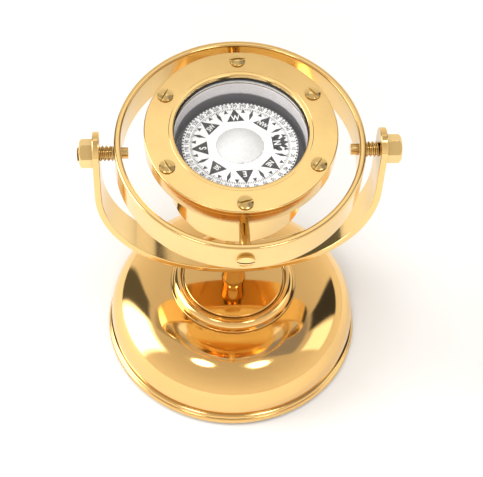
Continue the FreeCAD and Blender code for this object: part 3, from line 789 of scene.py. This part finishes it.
def enamel(name, high, low, middle, spread, place):
    """Brushed enamel, one colour above the middle height and another below, a little uneven."""
    material, tree, shader = new_material(name)
    where = on_axis(tree, place)
    dapple = noise(tree, where, 0.9, 6.0)
    height = node(tree, "ShaderNodeSeparateXYZ", {"Vector": where}).outputs["Z"]
    step = span(tree, sums_in(tree)("ADD", height, dapple), middle - spread, middle + spread, 0.0, 1.0,
                interpolation_type="SMOOTHSTEP")
    shade = node(tree, "ShaderNodeVectorMath", {0: blended(tree, step, low, high),
                 "Scale": span(tree, dapple, 0.3, 0.7, 0.86, 1.0)}, operation="SCALE").outputs[0]
    dressed(tree, shader, shade, span(tree, dapple, 0.0, 1.0, 0.3, 0.55), dapple, 1.5e-5, 0.5)
    return material


WHITE = (0.74, 0.71, 0.73)
GREY = (0.147, 0.141, 0.160)
LINER_R = CHAMBER_R - 0.5
liner = turned("chamber_liner", eased(
    [(LINER_R, -6.0), (CHAMBER_R - 0.01, -6.0), (CHAMBER_R - 0.01, 12.0), (LINER_R, 12.0, 0.2)]), LEAN,
    enamel("liner_enamel", WHITE, GREY, 4.6, 0.9, LEAN), steps=192)
belongs(liner, "bowl", "white_enamel", "chamber_liner")
packed["chamber_floor"].data.materials[0] = enamel("floor_enamel", GREY, GREY, 0.0, 1.0, LEAN)
under_brass = brass("under_brass", (0.85, 0.60, 0.25), rough=0.2, marks=2.0, place=LEAN)
packed["pivot_post"].data.materials[0] = under_brass
packed["expansion_diaphragm"].data.materials[0] = under_brass


# ---- pivot point, weights and ties ---------------------------------------------------------
# Hardened steel point on the post; dark lead in the bowl's foot and iron ballast in the base;
# the steel plate, tie bolt's spacer and green baize that close the base from below.

def plain_metal(name, colour, rough, grain, pits):
    """Unpolished metal: mottled, with shallow pits or mill scale."""
    material, tree, shader = new_material(name, Metallic=1.0)
    mottle = noise(tree, on_axis(tree), grain, 8.0)
    dressed(tree, shader, blended(tree, mottle, [0.6 * c for c in colour], colour),
            span(tree, mottle, 0.0, 1.0, rough - 0.1, rough + 0.15), mottle, pits)
    return material


def baize(name, colour):
    """Wool baize: a short felted nap in two shades of the same green."""
    material, tree, shader = new_material(name, Roughness=0.95, Sheen_Weight=0.4)
    nap = noise(tree, on_axis(tree), 2.4, 8.0, 0.8)
    dressed(tree, shader, blended(tree, nap, [0.45 * c for c in colour], colour), height=nap, depth=2e-4)
    return material


steel = plain_metal("bright_steel", (0.56, 0.56, 0.58), 0.3, 0.5, 1e-5)
iron = plain_metal("cast_iron", (0.16, 0.15, 0.15), 0.55, 0.35, 8e-5)
lead = plain_metal("cast_lead", (0.30, 0.31, 0.34), 0.5, 0.2, 6e-5)
for name, finish in (("pivot_point", steel), ("bowl_weight", lead), ("base_ballast", iron),
                     ("base_plate", steel), ("ballast_tube", steel),
                     ("base_felt", baize("green_baize", (0.03, 0.16, 0.06)))):
    packed[name].data.materials[0] = finish


# ---- tie bolt, saddle washer and nut -------------------------------------------------------
# An M8-sized brass bolt from under the ballast, up through the dome and the stem. A saddle
# washer filed to the yoke's curve and a plain hexagon nut pull the whole stand together.

WASHER_R = 8.0
WASHER_TOP = 65.6
tie_brass = brass("tie_brass", SCREW_GOLD, rough=0.13, marks=1.4)
shape = bmesh.new()
hexagon(shape, -8.0, -2.7)
shape.transform(Matrix.Rotation(math.pi, 4, "X"))
threaded(shape, 60.0, 73.55, tie_brass)
sweep_round(shape, [(0, 7.9), (3.95, 7.9), (3.95, YOKE_UNDER), (0, YOKE_UNDER)], steps=48)
tie_bolt = piece_of("tie_bolt", shape, material=tie_brass, crease=40)
belongs(tie_bolt, "stand", "screw_brass", "tie_bolt")

SADDLE_R = CROWN_R - BAR_T / 2
shape = bmesh.new()
rows = []
for k in range(72):
    cos, sin = math.cos(math.tau * k / 72), math.sin(math.tau * k / 72)
    low = [YOKE_UNDER + BAR_T + SADDLE_R - math.sqrt(SADDLE_R ** 2 - (radius * cos) ** 2)
           for radius in (TIE_HOLE_R, WASHER_R)]
    profile = [(TIE_HOLE_R, low[0]), (WASHER_R, low[1]), (WASHER_R, WASHER_TOP - 0.3), (7.9, WASHER_TOP - 0.1),
               (7.7, WASHER_TOP), (7.55, WASHER_TOP), (TIE_HOLE_R, WASHER_TOP)]
    rows.append([shape.verts.new((r * cos, r * sin, z)) for r, z in profile])
for one, two in zip(rows, rows[1:] + rows[:1]):
    for j in range(7):
        shape.faces.new((one[j], two[j], two[(j + 1) % 7], one[(j + 1) % 7]))
washer = piece_of("tie_washer", shape, material=tie_brass)
belongs(washer, "stand", "screw_brass", "tie_washer")

shape = bmesh.new()
hexagon(shape, WASHER_TOP, WASHER_TOP + 6.5, bore=THREAD_R - 0.2)
tie_nut = piece_of("tie_nut", shape, material=tie_brass, crease=40)
belongs(tie_nut, "stand", "screw_brass", "tie_nut")


# ---- bowl's cover, its screws and the filling plug -----------------------------------------
# Brass disc that closes the bowl's foot over the weight, held by four small screws; and a slotted
# plug on a red fibre washer, back to the left of the barrel, where the liquid goes in.

cover_brass = brass("cover_brass", GOLD, rough=0.12, marks=2.4, place=LEAN)
cover = turned("bowl_cover", eased(
    [(0, BOWL_BOTTOM), (32.9, BOWL_BOTTOM, 0.3), (32.9, BOWL_BOTTOM + 2), (0, BOWL_BOTTOM + 2)]), LEAN,
    cover_brass, steps=192)
belongs(cover, "bowl", "turned_brass", "bowl_cover")

places = [((27 * math.cos(a), 27 * math.sin(a), BOWL_BOTTOM), (math.pi, 0, 0))
          for a in (math.pi / 4 + math.pi / 2 * k for k in range(4))]
cover_screws = set_in_place("cover_screws", slotted(2.4, 1.1, 0.6, 0.5, 1.3, -1.9), places, head_brass, LEAN)
belongs(cover_screws, "bowl", "screw_brass", "cover_screws")

PLUG_R = 3.2
PLUG_TURN = Matrix.Translation((0, 0, 4.0)) @ Matrix.Rotation(math.radians(135), 4, "Z") @ ALONG_X
plug = set_in_place("filler_plug", slotted(PLUG_R, 1.6, 0.8, 0.7, 2.0, -2.2),
                    [((0, 0, BOWL_R + 1.0), (0, 0, 0))], head_brass, LEAN @ PLUG_TURN)
belongs(plug, "bowl", "screw_brass", "filler_plug")
plug_washer = turned("plug_washer", eased(
    [(2.05, BOWL_R - 0.1), (PLUG_R, BOWL_R - 0.1), (PLUG_R, BOWL_R + 1.0, 0.2), (2.05, BOWL_R + 1.0)]),
    LEAN @ PLUG_TURN, soft_rubber("red_fibre", (0.16, 0.02, 0.012), 0.6), steps=48)
belongs(plug_washer, "bowl", "fibre", "plug_washer")


# ---- compass card --------------------------------------------------------------------------
# Thin white enamelled disc that floats level in the liquid, its printing in dark grey: a degree
# border, a figure every ten degrees, eight lettered points with thin points between them.

POST_TOP = 3.0
CARD_AT = Matrix.Translation((0, -POST_TOP * math.sin(LEAN_TURN), PIVOT_Z + POST_TOP * math.cos(LEAN_TURN)))
CARD_UNDER = 1.3
CARD_TOP = 1.7
CARD_R = 29.7
CARD_HOLE_R = 11.6
CARD_WHITE = (0.87, 0.87, 0.88)
card = turned("compass_card", eased(
    [(CARD_HOLE_R, CARD_UNDER), (CARD_R, CARD_UNDER, 0.1), (CARD_R, CARD_TOP, 0.1), (CARD_HOLE_R, CARD_TOP)]),
    CARD_AT, enamel("card_enamel", CARD_WHITE, CARD_WHITE, 0.0, 1.0, CARD_AT), steps=192)
belongs(card, "card", "card_white", "compass_card")


def printing_ink(name, colour):
    """Printed ink: not quite opaque, so the tone varies a little."""
    material, tree, shader = new_material(name, Roughness=0.5)
    density = noise(tree, on_axis(tree), 2.0, 6.0)
    dense = [min(1.0, 1.25 * c) for c in colour]
    dressed(tree, shader, blended(tree, density, [0.75 * c for c in colour], dense))
    return material


def card_marks_tree():
    """A geometry tree for the card's printing: one mark, widening and narrowing along its length,
    set at even turns round the card with its inner end at the radius."""
    tree, given = geometry_tree("card_marks", {
        "Count": "Int", "Radius": "Float", "Length": "Float", "Inner Width": "Float", "Middle Width": "Float",
        "Outer Width": "Float", "First Turn": "Float", "Height": "Float", "Ink": "Material"})
    sums = sums_in(tree)
    strip = node(tree, "GeometryNodeMeshGrid", {"Size X": 1.0, "Size Y": 1.0, "Vertices X": 3, "Vertices Y": 2})
    at = node(tree, "ShaderNodeSeparateXYZ", {"Vector": spots(tree)}).outputs
    run = sums("ADD", at["X"], 0.5)
    inward = sums("MAXIMUM", sums("SUBTRACT", 1.0, sums("MULTIPLY", run, 2.0)))
    outward = sums("MAXIMUM", sums("SUBTRACT", sums("MULTIPLY", run, 2.0), 1.0))
    middle = sums("SUBTRACT", sums("SUBTRACT", 1.0, inward), outward)
    width = sums("ADD", sums("MULTIPLY", inward, given["Inner Width"]),
                 sums("ADD", sums("MULTIPLY", middle, given["Middle Width"]),
                      sums("MULTIPLY", outward, given["Outer Width"])))
    spot = node(tree, "ShaderNodeCombineXYZ", {"X": sums("MULTIPLY", run, given["Length"]),
                "Y": sums("MULTIPLY", at["Y"], width)}).outputs[0]
    circle = node(tree, "GeometryNodeMeshCircle", {"Vertices": given["Count"], "Radius": given["Radius"]})
    facing = node(tree, "FunctionNodeAlignRotationToVector", {"Vector": spots(tree)}, axis="X", pivot_axis="Z")
    around = node(tree, "GeometryNodeInstanceOnPoints", {"Points": circle.outputs[0],
                  "Instance": laid(tree, strip, spot, 0.002), "Rotation": facing.outputs[0]}).outputs[0]
    lift = node(tree, "ShaderNodeCombineXYZ", {"Z": given["Height"]}).outputs[0]
    spin = node(tree, "ShaderNodeCombineXYZ", {"Z": given["First Turn"]}).outputs[0]
    put = node(tree, "GeometryNodeTransform", {"Geometry": around, "Translation": lift, "Rotation": spin})
    return ended(tree, put.outputs[0], given["Ink"])


CARD_MARKS = card_marks_tree()
NORTH = math.radians(4.5)
INK_Z = CARD_TOP + 0.03
NARROW = 0.8
grey_ink = printing_ink("grey_ink", (0.03, 0.03, 0.034))
white_ink = printing_ink("white_ink", (0.80, 0.80, 0.80))


def marks(count, start, end, widths, first_degrees):
    """Even marks on the card from radius start to end, their widths inside, halfway and outside."""
    inner, middle, outer = widths
    return made_by(CARD_MARKS, "marks", Count=count, Radius=start, Length=end - start, Inner_Width=inner,
                   Middle_Width=middle, Outer_Width=outer, First_Turn=NORTH + math.radians(first_degrees),
                   Height=INK_Z, Ink=grey_ink)


def lettering(text, size, radius, bearing, height):
    """A word on the card, its foot toward the middle, at a bearing clockwise from north."""
    curve = bpy.data.curves.new("lettering", "FONT")
    curve.body, curve.size, curve.offset = text, size, 0.024 * size
    curve.align_x, curve.align_y = "CENTER", "CENTER"
    holder = in_scene("lettering", curve)
    mesh = settled(holder)
    bpy.data.objects.remove(holder)
    bpy.data.curves.remove(curve)
    upright = Matrix.Rotation(-math.pi / 2, 4, "Z") @ Matrix.Scale(NARROW, 4, (1, 0, 0))
    mesh.transform(Matrix.Rotation(NORTH - math.radians(bearing), 4, "Z")
                   @ Matrix.Translation((radius, 0, height)) @ upright)
    return mesh


def leaf(radius, sideways, lean, length, width):
    """A pointed leaf of the north point's ornament, its foot at the radius and leaning outward."""
    shape = bmesh.new()
    half = [(length * k / 8, width / 2 * math.sin(math.pi * k / 8) ** 0.8) for k in range(1, 8)]
    shape.faces.new([shape.verts.new((x, y, 0)) for x, y in
                     [(0, 0)] + [(x, -y) for x, y in half] + [(length, 0)] + list(reversed(half))])
    mesh = bpy.data.meshes.new("leaf")
    shape.to_mesh(mesh)
    shape.free()
    mesh.transform(Matrix.Rotation(NORTH, 4, "Z") @ Matrix.Translation((radius, sideways, INK_Z))
                   @ Matrix.Rotation(math.radians(lean), 4, "Z"))
    return mesh


def printed(name, meshes, ink):
    """The meshes as one printed piece on the card."""
    shape = bmesh.new()
    for mesh in meshes:
        shape.from_mesh(mesh)
        bpy.data.meshes.remove(mesh)
    for face in shape.faces:
        face.material_index = 0
        if face.normal.z < 0:
            face.normal_flip()
    shape.transform(TO_METRES @ CARD_AT)
    mesh = bpy.data.meshes.new(name)
    shape.to_mesh(mesh)
    shape.free()
    mesh.materials.append(ink)
    return in_scene(name, mesh)


rules = printed("card_points", [
    marks(8, 16.6, 25.3, (9.2, 4.6, 0.0), 0),
    marks(8, 17.9, 25.6, (0.0, 1.9, 0.0), 22.5),
    marks(16, 22.6, 24.9, (2.4, 1.2, 0.0), 11.25),
    marks(180, 24.4, 25.7, (0.30, 0.30, 0.30), 0),
    marks(36, 23.8, 25.8, (0.36, 0.36, 0.36), 0),
    marks(90, 28.75, 29.6, (1.2, 1.2, 1.2), 1)] + [
    leaf(radius, side * out, side * lean, length, width) for side in (-1, 1)
    for radius, out, lean, length, width in ((17.2, 2.9, 30, 4.6, 2.6), (20.6, 1.7, 24, 3.8, 2.1))],
    grey_ink)
belongs(rules, "card", "grey_enamel")
figures = [lettering(str(10 * k), 2.95, 27.2, 10 * k, INK_Z) for k in range(36)]
belongs(printed("card_figures", figures, grey_ink), "card", "grey_enamel")
letters = [lettering(word, 5.1 if len(word) == 1 else 3.9, 18.9, 45 * k, INK_Z + 0.03)
           for k, word in enumerate(("N", "NE", "E", "SE", "S", "SW", "W", "NW"))]
belongs(printed("card_letters", letters, white_ink), "card", "card_white")


# ---- float ---------------------------------------------------------------------------------
# Hollow float soldered up from thin sheet and enamelled white: a low dome above the card and a
# pan under it. It takes most of the card's weight off the jewel.

FLOAT_R = 12.2
DOME_H = 4.6
CAP_SPHERE = (FLOAT_R ** 2 + DOME_H ** 2) / (2 * DOME_H)
float_top = CARD_TOP + DOME_H
slopes = [math.asin(FLOAT_R / CAP_SPHERE) * (1 - k / 28) for k in range(28)]
float_shape = eased(
    [(0, -2.2), (FLOAT_R - 2.5, -2.2, 0.5), (FLOAT_R - 0.7, 0.7, 0.3), (FLOAT_R - 0.7, CARD_TOP)]
    + [(CAP_SPHERE * math.sin(a), float_top - CAP_SPHERE + CAP_SPHERE * math.cos(a)) for a in slopes]
    + [(0, float_top)])
# Dark grey below a line just over the card: round the float's foot this band is painted shade in the crease
# between float and card, and the pan under the card is dark grey too.
float_white = enamel("float_enamel", (0.66, 0.66, 0.67), (0.10, 0.10, 0.12), CARD_TOP + 0.55, 0.22, CARD_AT)
float_white.node_tree.nodes["Principled BSDF"].inputs["Coat Weight"].default_value = 0.35
float_piece = turned("float_chamber", float_shape, CARD_AT, float_white, steps=128)
belongs(float_piece, "card", "float_white", "float_chamber")
packed["card_magnets"].data.materials[0] = plain_metal("magnet_steel", (0.35, 0.35, 0.37), 0.35, 0.6, 2e-5)


def sapphire(name):
    """Synthetic sapphire: clear, pale and very smooth, cloudy only in its bulk."""
    material, tree, shader = new_material(name, IOR=1.76, Transmission_Weight=0.8)
    cloud = noise(tree, on_axis(tree), 1.5)
    dressed(tree, shader, blended(tree, cloud, (0.75, 0.8, 0.95), (0.9, 0.93, 1.0)),
            span(tree, cloud, 0.0, 1.0, 0.02, 0.08))
    return material


packed["jewel_cup"].data.materials[0] = sapphire("sapphire")


# ---- table, light and camera ---------------------------------------------------------------
# A plain white table, a white tent of light round it with greyer parts overhead, a large soft
# window to the left and a smaller one to the right, and three soft lamps at the left, above and
# in front; the camera looks down over the front edge.

TABLE_HALF = 3
TABLE_Z = -0.0002
table_mesh = bpy.data.meshes.new("table")
corners = [(x * TABLE_HALF, y * TABLE_HALF, TABLE_Z) for x, y in ((-1, -1), (1, -1), (1, 1), (-1, 1))]
table_mesh.from_pydata(corners, [], [(0, 1, 2, 3)])
paper, paper_tree, paper_shader = new_material("white_table", Roughness=0.7)
grain = noise(paper_tree, node(paper_tree, "ShaderNodeTexCoord").outputs["Object"], 60.0, 4.0)
dressed(paper_tree, paper_shader, blended(paper_tree, grain, (0.66, 0.665, 0.67), (0.68, 0.685, 0.69)))
table_mesh.materials.append(paper)
in_scene("table", table_mesh)

scene = bpy.context.scene
scene.view_settings.view_transform = "Standard"
world = bpy.data.worlds.new("tent")
scene.world = world
world.use_nodes = True
tent = world.node_tree
way = node(tent, "ShaderNodeTexCoord").outputs["Generated"]
axes = node(tent, "ShaderNodeSeparateXYZ", {"Vector": way}).outputs
sums = sums_in(tent)
rise = sums("MULTIPLY", sums("ARCSINE", axes["Z"]), 180 / math.pi)
bearing = sums("MULTIPLY", sums("ARCTAN2", axes["X"], sums("MULTIPLY", axes["Y"], -1.0)), 180 / math.pi)


def painted(under, colour, share):
    """The colour over what is under it, as far as its share goes."""
    return node(tent, "ShaderNodeMix", {"Factor": share, "A": under, "B": (*colour, 1)}, data_type="RGBA",
                clamp_factor=True).outputs["Result"]


def board(under, colour, azimuths, rises, soft=2.0):
    """A board or cloth in the tent between two azimuths from the front and two elevations."""
    past = node(tent, "ShaderNodeMath", {0: sums("SUBTRACT", bearing, sum(azimuths) / 2), 1: 180.0, 2: -180.0},
                operation="WRAP").outputs[0]
    above = sums("SUBTRACT", rise, sum(rises) / 2)
    inside = [span(tent, sums("ABSOLUTE", value), (high - low) / 2 - soft, (high - low) / 2 + soft, 1.0, 0.0,
                   interpolation_type="SMOOTHSTEP")
              for value, (low, high) in ((past, azimuths), (above, rises))]
    return painted(under, colour, sums("MULTIPLY", *inside))


def lamp(under, colour, azimuth, elevation, radius):
    """A round diffused lamp in the tent."""
    a, e = math.radians(azimuth), math.radians(elevation)
    middle = (math.sin(a) * math.cos(e), -math.cos(a) * math.cos(e), math.sin(e))
    toward = node(tent, "ShaderNodeVectorMath", {0: way, 1: middle}, operation="DOT_PRODUCT").outputs["Value"]
    inside = span(tent, toward, math.cos(math.radians(radius * 1.3)), math.cos(math.radians(radius * 0.7)),
                  0.0, 1.0, interpolation_type="SMOOTHSTEP")
    return painted(under, colour, inside)


cloth = noise(tent, way, 6.0, 5.0)
overhead = span(tent, rise, 8.0, 82.0, 0.0, 1.0)
sky = blended(tent, overhead, (0.98, 0.90, 0.80), (0.60, 0.53, 0.46))
sky = painted(sky, (0.62, 0.55, 0.45), sums("MULTIPLY", sums("MULTIPLY", cloth, cloth), overhead))
sky = board(sky, (1.25, 1.2, 1.12), (158, 202), (60, 70), 3.0)
sky = board(sky, (0.12, 0.12, 0.11), (-141, -120), (-4, 52))
sky = board(sky, (0.42, 0.38, 0.29), (-146, -116), (57, 73))
sky = board(sky, (0.33, 0.32, 0.37), (76, 141), (56, 76), 1.5)
sky = board(sky, (0.05, 0.05, 0.055), (108, 132), (17, 54), 1.5)
sky = board(sky, (1.6, 1.6, 1.55), (78, 105), (20, 49), 1.5)
sky = board(sky, (5.0, 5.0, 4.9), (-118, -79), (-2, 50), 5.0)
sky = lamp(sky, (9.0, 9.0, 8.8), -48, 70, 5.0)
sky = lamp(sky, (9.0, 9.0, 8.8), 44, 70, 5.0)
tent.links.new(sky, tent.nodes["Background"].inputs["Color"])


def soft_light(name, place, aim_z, size, power, colour=(1, 1, 1)):
    """A square soft light at place, turned toward a height on the axis and left out of gloss."""
    lit = bpy.data.lights.new(name, "AREA")
    lit.shape, lit.size, lit.energy, lit.color = "SQUARE", size, power, colour
    light = in_scene(name, lit)
    light.location = place
    light.rotation_mode = "QUATERNION"
    light.rotation_quaternion = (Vector((0, 0, aim_z)) - Vector(place)).to_track_quat("-Z", "Y")
    light.visible_glossy = False


soft_light("window_left", (-0.95, 0.10, 0.55), 0.08, 0.55, 2.5, (1.0, 0.99, 0.97))
soft_light("overhead", (0.0, -0.15, 1.3), 0.1, 0.7, 5.5)
soft_light("front", (-0.1, -0.85, 0.95), 0.15, 0.5, 7.0)

AZIMUTH, ELEVATION, ROLL = (math.radians(d) for d in (-5.55, 52.15, 3.25))
AIM = Vector((0.00339, -0.00043, 0.07948))
DISTANCE = 0.8035
back = Vector((math.sin(AZIMUTH) * math.cos(ELEVATION), -math.cos(AZIMUTH) * math.cos(ELEVATION),
               math.sin(ELEVATION)))
right = Vector((0, 0, 1)).cross(back).normalized()
up = back.cross(right)
rolled_right = math.cos(ROLL) * right + math.sin(ROLL) * up
rolled_up = -math.sin(ROLL) * right + math.cos(ROLL) * up
lens = bpy.data.cameras.new("camera")
lens.lens, lens.sensor_width = 108.8, 36.0
camera = in_scene("camera", lens)
turn = Matrix((rolled_right, rolled_up, back)).transposed().to_4x4()
camera.matrix_world = Matrix.Translation(AIM + back * DISTANCE) @ turn
scene.camera = camera
